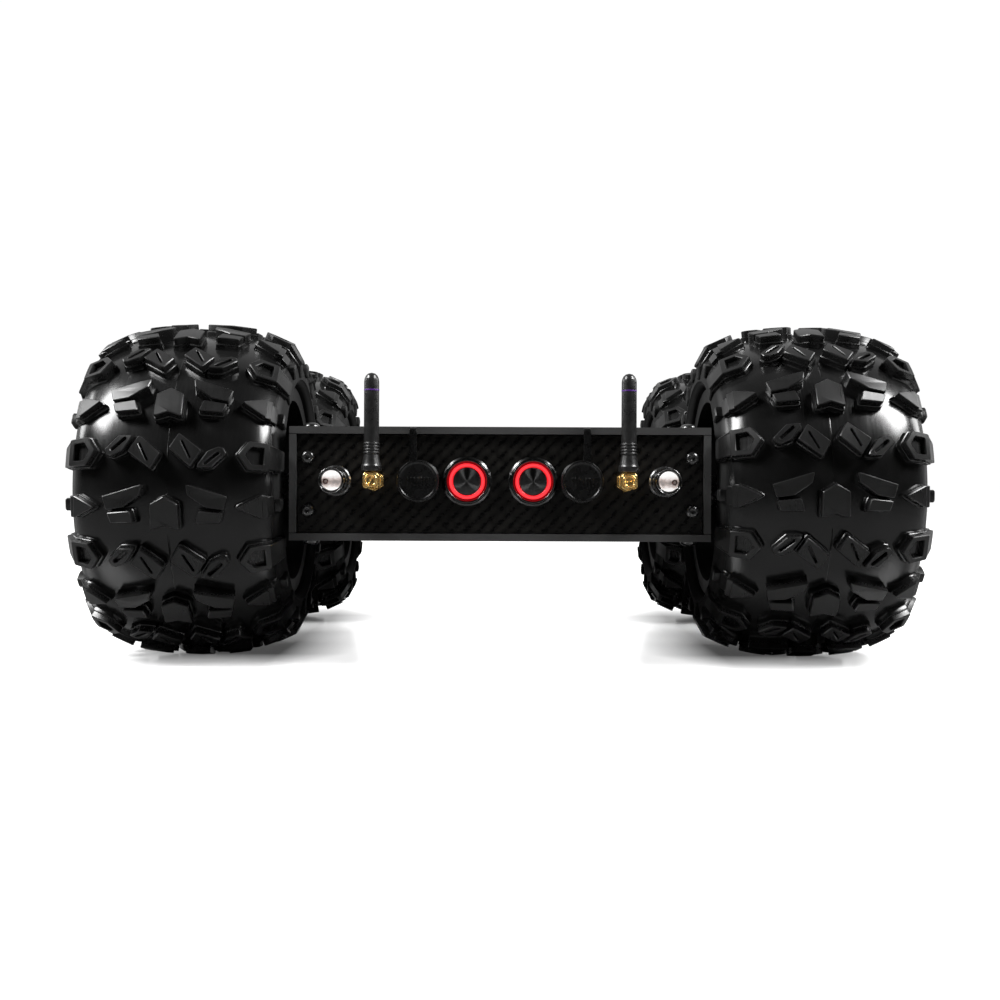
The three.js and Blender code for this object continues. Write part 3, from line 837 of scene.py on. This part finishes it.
def add_plug(side, at):
    """Right-angle plug: coupling nut, square elbow, rim and slot on its face, and a neck upwards."""
    coupling = round_corners([
        (3.4, 2.9), (4.05, 2.9), (4.35, 3.3), (4.35, 8.2), (3.9, 8.8), (3.4, 8.8),
    ], 0.15)
    plug = turned(coupling, ahead, 96, closed=True, flats=(6, 3.85))
    elbow = round_corners([
        (0, 8), (4.1, 8), (4.35, 8.4), (4.35, PLUG_FACE - 0.6), (3.9, PLUG_FACE), (0, PLUG_FACE),
    ], 0.2, closed=False)
    turned(elbow, ahead, 96, flats=(4, 3.4), into=plug)
    rim = round_corners([
        (2.95, PLUG_FACE - 0.4), (2.95, PLUG_FACE + 0.75), (2.1, PLUG_FACE + 0.75), (2.1, PLUG_FACE + 0.2),
        (0, PLUG_FACE + 0.2),
    ], 0.42, 4, closed=False)
    turned(rim, ahead, 64, into=plug)
    slot_angle = math.radians(SLOT_ANGLE[side])
    tip = 1.9 * Vector((math.cos(slot_angle), math.sin(slot_angle)))
    add_prism(plug, slot_outline(-tip, tip, 0.5), PLUG_FACE, PLUG_FACE + 0.6, ahead, 0.15)
    neck = round_corners([(0, 1.5), (3.05, 1.5), (3.05, 3.6), (2.8, 4.0), (0, 4.0)], 0.2, closed=False)
    plug.join(turned(neck, upright, 48), (0, -ELBOW_OUT, 0))
    piece(f"antenna_plug_{side}", plug, GOLD, f"antenna_{side}", at,
          replaces=[f"antenna_elbow_{side}"])


def add_rod(side, at):
    """Black rod: a collar, a cone, four ribs at the waist, a round tip and a thin violet ring."""
    ribs = []
    for k in range(4):
        low = 11.5 + 1.3 * k
        ribs += [(3.2, low), (3.6, low + 0.25), (3.6, low + 0.7), (3.2, low + 0.95)]
    mast = round_corners([
        (0, 4.1), (4.1, 4.1), (4.4, 4.5), (4.4, 6.3), (4.05, 7.0), (3.2, 11.0), *ribs, (3.3, 17.2),
        (3.25, ROD_LENGTH - 3.8), (3.05, ROD_LENGTH - 2.5), (2.5, ROD_LENGTH - 1.3), (1.5, ROD_LENGTH - 0.4),
        (0, ROD_LENGTH),
    ], 0.35, 3, closed=False)
    body = f"antenna_{side}"
    piece(f"antenna_mast_{side}", turned(mast, upright, 64), ANTENNA_PLASTIC, body, at,
          replaces=[f"antenna_rod_{side}"])
    band = round_corners([(3.0, 38.7), (3.32, 38.7), (3.32, 39.3), (3.0, 39.3)], 0.08, 2)
    piece(f"antenna_band_{side}", turned(band, upright, 64, closed=True), VIOLET, body, at)


def add_antenna(side, x, z):
    at = (x, PANEL_FACE, z)
    add_bulkhead(side, at)
    add_plug(side, at)
    add_rod(side, (x, PANEL_FACE - ELBOW_OUT, z))


# ---------------- tyres

PITCHES = 10
PITCH_RADIUS = 78  # radius at which lug outlines have their true length round the tyre
CROWN_CENTRE, CROWN_HEIGHT, CROWN_WIDTH = 50, 23.5, 46.3  # of the carcass's squared-off oval section
CROWN_POWER = 3
TREAD_HALF_WIDTH = 48.3
LUG_TOPS = [(0, 79.88), (15, 79.3), (26, 77.8), (31, 76.3), (43.5, 70.7), (TREAD_HALF_WIDTH, 61.5)]
LUG_ROOTS = [(0, 0), (26, 25), (31, 29.2), (43.5, 41), (TREAD_HALF_WIDTH, 45.3)]

# Angle of the first row of lugs above the forward horizontal, for each wheel as it stands.
TREAD_PHASE = {"front_left": 47.6, "front_right": 52.3, "rear_left": 38, "rear_right": 40}

# Lugs of one pitch, as (w, s) outlines. The first row is turned half round for its other
# side, and the second row is mirrored.
HOUSE = [(30.7, -0.8), (35, -7.4), (43.5, -7.3), (43.5, 5.7), (35, 5.8)]
SKIRT = [(42.2, -7.0), (48.3, -6.5), (48.3, 4.9), (42.2, 5.4)]
HEXAGON = [(26.1, -0.8), (20.2, -6.8), (13.4, -7.2), (18.2, 0), (22.7, 2.1), (24.8, 1.6)]
RHOMB = [(1.9, 1.2), (5.7, 7.8), (15.8, 0.2), (11.3, -6.8)]
BAR = [(9.2, -14.3), (26.8, -19.5), (25.1, -25.3), (17.8, -24.2), (10.2, -18.9)]
SMALL_BLOCK = [(14.8, -25.6), (24.8, -26.6), (23.2, -31.0), (13.1, -30.7)]
TRIANGLE = [(30.7, -24.4), (40.8, -19.4), (41, -30.2)]
UPPER_LEDGE = [(39.6, -19.8), (43.4, -19.5), (43.4, -30.1), (39.6, -29.9)]
LOWER_LEDGE = [(42.6, -20.0), (45.8, -19.8), (45.8, -29.8), (42.6, -29.8)]
ARROW = [(0, -19.4), (5.9, -22.6), (6.1, -33.7), (0, -31.6), (-6.1, -33.7), (-5.9, -22.6)]
HOUSE_POCKET = round_corners(offset(counter_clockwise(HOUSE), -2.4), 0.5, 2)
HEXAGON_SLOT = slot_outline((17.4, -5.3), (22.7, -0.7), 1.5)
RHOMB_SLIT = slot_outline((7.2, 4.1), (10.9, -2.9), 0.9)

# Ribs down the sidewalls, under the skirts and the ledges: [s of the middle, inner radius, half width].
SIDE_RIBS = ((-0.8, 54.5, 3.6), (-24.9, 57.0, 2.9))
RIB_OUTER_RADIUS, RIB_ROOT, RIB_TOP = 63.5, 42, 47.2


def carcass_radius(w):
    share = min(1, abs(w) / CROWN_WIDTH)
    return CROWN_CENTRE + CROWN_HEIGHT * (1 - share**CROWN_POWER) ** (1 / CROWN_POWER)


def tread_point(w, s, rise, height, turn):
    """A point of a lug: rise is 0 on the carcass and 1 at the tread's envelope."""
    w = max(-TREAD_HALF_WIDTH, min(TREAD_HALF_WIDTH, w))
    root_w = interpolate(LUG_ROOTS, abs(w))
    root_radius = carcass_radius(root_w)
    level = rise * height
    across_tyre = root_w + (abs(w) - root_w) * level
    radius = root_radius + (interpolate(LUG_TOPS, abs(w)) - root_radius) * level
    angle = s / PITCH_RADIUS + turn
    return (math.copysign(across_tyre, w), -radius * math.cos(angle), radius * math.sin(angle))


# Walls of a lug, from the carcass up: [how far outside its outline, rise].
BEVEL = 0.35
LUG_HEIGHT = 6.4
TERRACE = 0.75  # width of the base that most lugs stand on
TOP_STEPS = ((0, 1 - BEVEL / LUG_HEIGHT), (-BEVEL, 1))
PLAIN_STEPS = ((0.8, -0.12), (0.35, 0.03), (0.15, 0.12), (0.06, 0.45)) + TOP_STEPS
TERRACED_STEPS = (
    (TERRACE + 0.6, -0.12), (TERRACE + 0.2, 0.05), (TERRACE, 0.12), (TERRACE, 0.42), (TERRACE - 0.25, 0.47),
    (0.12, 0.48), (0.05, 0.7),
) + TOP_STEPS
LONGEST_EDGE = 5  # of a lug's outline, so that it follows the tyre's curve


def raise_ring(solid, outline, rise, height, turn):
    """One ring of a lug's wall, its rise noted for the material."""
    ring = solid.ring([tread_point(*point, rise, height, turn) for point in outline])
    for index in ring:
        solid.rise[index] = max(0.0, rise)
    return ring


def add_lug(solid, outline, turn, steps=PLAIN_STEPS, height=1.0, corner=0.9, hole=None, depth=0):
    """Raises a lug, which may have a hole that many millimetres deep in its top."""
    outline = subdivide(round_corners(counter_clockwise(outline), corner, 2), LONGEST_EDGE)
    flats = [offset(outline, outset) for outset, _ in steps]
    rings = [raise_ring(solid, flat, rise, height, turn) for flat, (_, rise) in zip(flats, steps)]
    for lower, upper in zip(rings, rings[1:]):
        solid.bridge(lower, upper)
    top, top_flat = [rings[-1]], [flats[-1]]
    if hole:
        hole = counter_clockwise(hole)
        levels = ((0.25, 1), (0, 1 - 0.3 / LUG_HEIGHT), (-0.12, 1 - depth / LUG_HEIGHT))
        flats = [offset(hole, outset) for outset, _ in levels]
        rings = [raise_ring(solid, flat, rise, height, turn) for flat, (_, rise) in zip(flats, levels)]
        for upper, lower in zip(rings, rings[1:]):
            solid.bridge(upper, lower)
        solid.cap([rings[-1]], [flats[-1]])
        top.append(rings[0])
        top_flat.append(flats[0])
    solid.cap(top, top_flat)


def add_side_rib(solid, sense, turn, middle, inner, half_width):
    """A raised block on the sidewall, from the inner radius out to the tread's edge."""
    angle = math.pi - middle / PITCH_RADIUS - turn
    outward = Vector((math.cos(angle), math.sin(angle)))
    sideways = Vector((-outward.y, outward.x))
    corners = ((inner, 0.8), (RIB_OUTER_RADIUS, 1.0), (RIB_OUTER_RADIUS, -1.0), (inner, -0.8))
    outline = [outward * radius + sideways * half_width * side for radius, side in corners]
    outline = round_corners(outline, 1.2, 2)
    low, high = sorted((sense * RIB_ROOT, sense * RIB_TOP))
    add_prism(solid, outline, low, high, across, 0.5)


def carcass_profile():
    """Half the carcass's section, as (w, radius), from the crown's seam to the bead and back inside."""
    seam = [(0, 73.68), (0.22, 73.6), (0.4, 73.5)]
    crown = []
    for k in range(1, 23):
        t = math.radians(86) * k / 22
        w = CROWN_WIDTH * math.sin(t) ** (2 / CROWN_POWER)
        if w > 1:
            crown.append((w, CROWN_CENTRE + CROWN_HEIGHT * math.cos(t) ** (2 / CROWN_POWER)))
    wall = [
        (46.1, 55.4), (45.9, 54.6), (46.4, 54.2), (46.4, 53.5), (45.8, 53.1), (45.2, 52.3),
        (44.0, 51.3), (43.2, 51.0), (38.9, 50.8),
    ]
    bead = [(38.7, 50.4), (38.7, 45.9), (38.2, 45.7), (34.4, 45.7), (34, 46.2)]
    inside = [(39.6, 57), (34, 65.5), (27, 69.5), (14, 70.3), (0, 70.5)]
    return seam + crown + wall + bead + inside


def flipped(points, w_sign, s_sign=1):
    return [(w_sign * w, s_sign * s) for w, s in points]


def add_rows(solid, sense, turn):
    """Both rows of lugs of one pitch, on one side of the tyre."""
    first_row = (
        (HOUSE, dict(hole=flipped(HOUSE_POCKET, sense, sense), depth=3.2)),
        (SKIRT, dict(height=0.95)),
        (HEXAGON, dict(hole=flipped(HEXAGON_SLOT, sense, sense), depth=2.4)),
        (RHOMB, dict(corner=0.7, hole=flipped(RHOMB_SLIT, sense, sense), depth=3.4)),
    )
    for outline, details in first_row:
        add_lug(solid, flipped(outline, sense, sense), turn, TERRACED_STEPS, **details)
    add_lug(solid, flipped(BAR, sense), turn, corner=0.6)
    add_lug(solid, flipped(SMALL_BLOCK, sense), turn, TERRACED_STEPS, corner=0.7)
    add_lug(solid, flipped(TRIANGLE, sense), turn, TERRACED_STEPS, corner=0.7)
    add_lug(solid, flipped(UPPER_LEDGE, sense), turn, height=0.8, corner=0.6)
    add_lug(solid, flipped(LOWER_LEDGE, sense), turn, height=0.5, corner=0.6)
    for middle, inner, half_width in SIDE_RIBS:
        add_side_rib(solid, sense, turn, middle, inner, half_width)


def tyre_mesh():
    half = carcass_profile()
    mirrored = [(-w, radius) for w, radius in half[-2:0:-1]]
    profile = [(radius, w) for w, radius in half + mirrored]
    solid = turned(profile, across, 240, closed=True)
    for k in range(PITCHES):
        turn = 2 * math.pi * k / PITCHES
        for sense in (1, -1):
            add_rows(solid, sense, turn)
        add_lug(solid, ARROW, turn, TERRACED_STEPS, corner=0.7)
    return solid.mesh("tyre", sharp_angle=28)


# ---------------- rims, hubs and nuts

WINDOWS = 6
RIM_INNER = 43.3
RIM_FLANGE = 50
RIM_BARREL = 45.5
RIM_HALF_WIDTH = 42.3


def cut_away(mesh, cutters):
    """The mesh less the solids that the cutters hold."""
    body = bpy.data.objects.new("body", mesh)
    tool = bpy.data.objects.new("tool", cutters)
    for made in (body, tool):
        bpy.context.scene.collection.objects.link(made)
    cut = body.modifiers.new("cut", "BOOLEAN")
    cut.object = tool
    cut.operation = "DIFFERENCE"
    cut.solver = "EXACT"
    soften(body, 0.5, 3, 38)
    result = bpy.data.meshes.new_from_object(body.evaluated_get(bpy.context.evaluated_depsgraph_get()))
    bpy.data.objects.remove(body)
    bpy.data.objects.remove(tool)
    result.shade_smooth()
    result.set_sharp_from_angle(angle=math.radians(40))
    return result


def rim_mesh():
    """Barrel with rolled flanges and a coned disc with six windows and a ribbed edge."""
    section = [
        (4.4, -6), (14, -6), (14, 1.6), (24, 10.4), (34, 19.0), (RIM_INNER, 26.5),
        (RIM_INNER, -RIM_HALF_WIDTH), (RIM_FLANGE, -RIM_HALF_WIDTH), (RIM_FLANGE, -39.4), (RIM_BARREL, -39),
        (RIM_BARREL - 0.6, -20), (RIM_BARREL - 0.6, 20), (RIM_BARREL, 39), (RIM_FLANGE, 39.4),
        (RIM_FLANGE, RIM_HALF_WIDTH), (47.6, RIM_HALF_WIDTH), (46.8, 40.6), (RIM_INNER, 39.8),
        (RIM_INNER, 33), (34, 25.2), (24, 16.2), (15, 8), (4.4, 8),
    ]
    barrel = turned(section, across, 96, closed=True).mesh("rim_section")
    cutters = Solid()
    for k in range(WINDOWS):
        angle = (k + 0.5) * 2 * math.pi / WINDOWS
        turn = Matrix.Rotation(angle, 2)
        window = round_corners([(18.5, -4.2), (38, -10.5), (38, 10.5), (18.5, 4.2)], 2.6, 5)
        outline = [turn @ point for point in window]
        add_prism(cutters, outline, -5, 40, across, 0)
    return cut_away(barrel, cutters.mesh("rim_windows"))


SLEEVE_GAP = 3  # between the box's side and the sleeve
BARE_SHAFT = 12.9  # length of the motor's shaft behind the sleeve


def hub_mesh(sleeve_start):
    """Drive shaft's sleeve, its grub-screw collar, the hexagon and the threaded stud."""
    sleeve = round_corners([
        (0, sleeve_start), (8, sleeve_start), (8, -18), (7.2, -17.4), (7.2, -9), (8, -8.4), (8, -4),
        (0, -4),
    ], 0.3, closed=False)
    hub = turned(sleeve, across, 64)
    hexagon = [(0, -8), (9.2, -8), (9.75, -7.5), (9.75, -0.5), (9.2, 0), (0, 0)]
    turned(hexagon, across, 96, flats=(6, 8.45), into=hub)
    crests = [(4.0 - 0.3 * (k % 2), -1 + 0.4 * k) for k in range(44)]
    turned([(0, -1)] + crests + [(3.4, 17), (0, 17)], across, 48, into=hub)
    shaft_end = sleeve_start - BARE_SHAFT
    shaft = [(0, shaft_end), (3, shaft_end), (3, sleeve_start), (0, sleeve_start)]
    turned(shaft, across, 32, into=hub)
    return hub.mesh("wheel_hub")


def nut_mesh():
    """Hexagonal locknut with a domed collar round its thread."""
    profile = round_corners([
        (4.3, 8.2), (6.6, 8.2), (7.4, 8.7), (7.4, 12.6), (6.6, 13.2), (6.1, 13.3), (5.9, 14.4),
        (5.2, 15), (4.3, 15),
    ], 0.15)
    return turned(profile, across, 96, closed=True, flats=(6, 6.5)).mesh("wheel_nut")


def add_wheels():
    tread, rim, nut = tyre_mesh(), rim_mesh(), nut_mesh()
    box_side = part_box("side_plate_right")[1].x / MM
    wheel_x = centre_of("rim_front_right").x
    hub = hub_mesh(box_side + SLEEVE_GAP - wheel_x)
    for end, _ in ENDS:
        for side, sign in SIDES:
            place = f"{end}_{side}"
            at = centre_of(f"rim_{place}")
            body = f"wheel_{place}"
            turn = (0, 0, math.pi if sign < 0 else 0)
            tyre = tread.copy()
            tyre.transform(Matrix.Rotation(-math.radians(TREAD_PHASE[place]), 4, "X"))
            piece(f"tread_{place}", tyre, RUBBER, body, at, replaces=[f"tyre_{place}"])
            piece(f"wheel_{place}", rim, NYLON, body, at, turn, [f"rim_{place}"])
            piece(f"hub_{place}", hub, BLACK_STEEL, body, at, turn, [f"wheel_hub_{place}"])
            piece(f"nut_{place}", nut, BLACK_STEEL, body, at, turn, [f"wheel_nut_{place}"])


# ---------------- studio

CAMERA_AT = (0, -0.7016, 0.0754)  # metres
CAMERA_LENS = 44.35
CAMERA_ROLL = -0.23  # degrees
PAINTED_SHADOW_HALF_WIDTH, PAINTED_SHADOW_FADE = 0.035, 0.07  # metres, of the floor's painted shadow strips along the wheels


def add_floor():
    """Glossy white table top with a painted glow that only the camera sees, dimmed along strips by the wheels
    as a painted shadow.
    """
    reach = 8.0
    corners = [(-reach, -reach, 0), (reach, -reach, 0), (reach, reach, 0), (-reach, reach, 0)]
    mesh = bpy.data.meshes.new("floor")
    mesh.from_pydata(corners, [], [(0, 1, 2, 3)])
    look = Look("white_floor", {"Roughness": 0.16, "Specular IOR Level": 0.6})
    x, y, _ = look.parts(look.place())
    wheel = centre_of("rim_front_right") * MM
    from_strip = look.math("ABSOLUTE", look.math("SUBTRACT", look.math("ABSOLUTE", x), abs(wheel.x)))
    across_gap = look.math("MAXIMUM", look.math("SUBTRACT", from_strip, PAINTED_SHADOW_HALF_WIDTH), 0)
    along_gap = look.math("MAXIMUM", look.math("SUBTRACT", look.math("ABSOLUTE", y), abs(wheel.y)), 0)
    gap = look.math("ADD", look.math("MULTIPLY", across_gap, 2), along_gap)
    # Painted shadow: the camera-only glow fades towards the strips along the wheels.
    glow = look.spread(gap, 0.06, 0.85, 0.0, PAINTED_SHADOW_FADE)
    seen = look.add("LightPath", {}, output="Is Camera Ray")
    look.set({
        "Base Color": look.mix(seen, 0.17, 0.86),
        "Emission Color": colour(1),
        "Emission Strength": look.math("MULTIPLY", glow, seen),
    })
    mesh.materials.append(look.material)
    floor = bpy.data.objects.new("floor", mesh)
    bpy.context.scene.collection.objects.link(floor)
    return floor


def add_softbox(name, at, towards, width, height, power):
    light = bpy.data.lights.new(name, "AREA")
    light.shape = "RECTANGLE"
    light.size = width
    light.size_y = height
    light.energy = power
    made = bpy.data.objects.new(name, light)
    bpy.context.scene.collection.objects.link(made)
    made.location = at
    made.rotation_euler = (Vector(towards) - Vector(at)).to_track_quat("-Z", "Y").to_euler()
    return made


def add_lights(floor):
    overhead = add_softbox("floor_softbox", (0, -0.1, 1.3), (0, 0, 0), 1.7, 1.3, 18)
    lit = bpy.data.collections.new("floor_only")  # the overhead light only shades the table top
    lit.objects.link(floor)
    overhead.light_linking.receiver_collection = lit
    for side, sign in SIDES:
        add_softbox(f"{side}_softbox", (0.82 * sign, -0.42, 0.85), (0.1 * sign, -0.1, 0.1), 0.42, 0.42, 21)
    for side, sign in SIDES:
        add_softbox(f"{side}_side_softbox", (1.2 * sign, 0.15, 0.6), (0.15 * sign, 0, 0.08), 0.4, 0.4, 4.5)


def add_world():
    """White past the object. What the object mirrors is white from behind and dark from in front."""
    world = bpy.data.worlds.new("studio")
    bpy.context.scene.world = world
    world.use_nodes = True
    tree = Nodes(world.node_tree)
    _, y, _ = tree.parts(tree.add("TexCoord", {}, output="Generated"))
    mirrored = tree.spread(y, 0.02, 0.6, -0.1, 0.6)
    seen = tree.add("LightPath", {}, output="Is Camera Ray")
    background = tree.nodes["Background"]
    tree.plug(background.inputs["Color"], colour(1))
    tree.plug(background.inputs["Strength"], tree.spread(seen, mirrored, 1.02, 0, 1))


def add_camera():
    data = bpy.data.cameras.new("camera")
    data.lens = CAMERA_LENS
    data.sensor_width = 36
    camera = bpy.data.objects.new("camera", data)
    bpy.context.scene.collection.objects.link(camera)
    camera.location = CAMERA_AT
    camera.rotation_euler = (math.radians(90), math.radians(CAMERA_ROLL), 0)
    bpy.context.scene.camera = camera
    bpy.context.scene.view_settings.view_transform = "Standard"


add_camera()
add_lights(add_floor())
add_world()
dress_plates()
add_screws()
ring_light = light_ring(LIGHT_INNER, LIGHT_OUTER)
for side, sign in SIDES:
    lamp, button = centre_of(f"lamp_body_{side}"), centre_of(f"button_bezel_{side}")
    port, socket = centre_of(f"port_socket_{side}"), centre_of(f"antenna_socket_{side}")
    add_lamp(side, sign, lamp.x, lamp.z)
    add_button(side, button.x, button.z, ring_light)
    add_port(side, sign, port.x, port.z)
    add_antenna(side, socket.x, socket.z)
add_wheels()
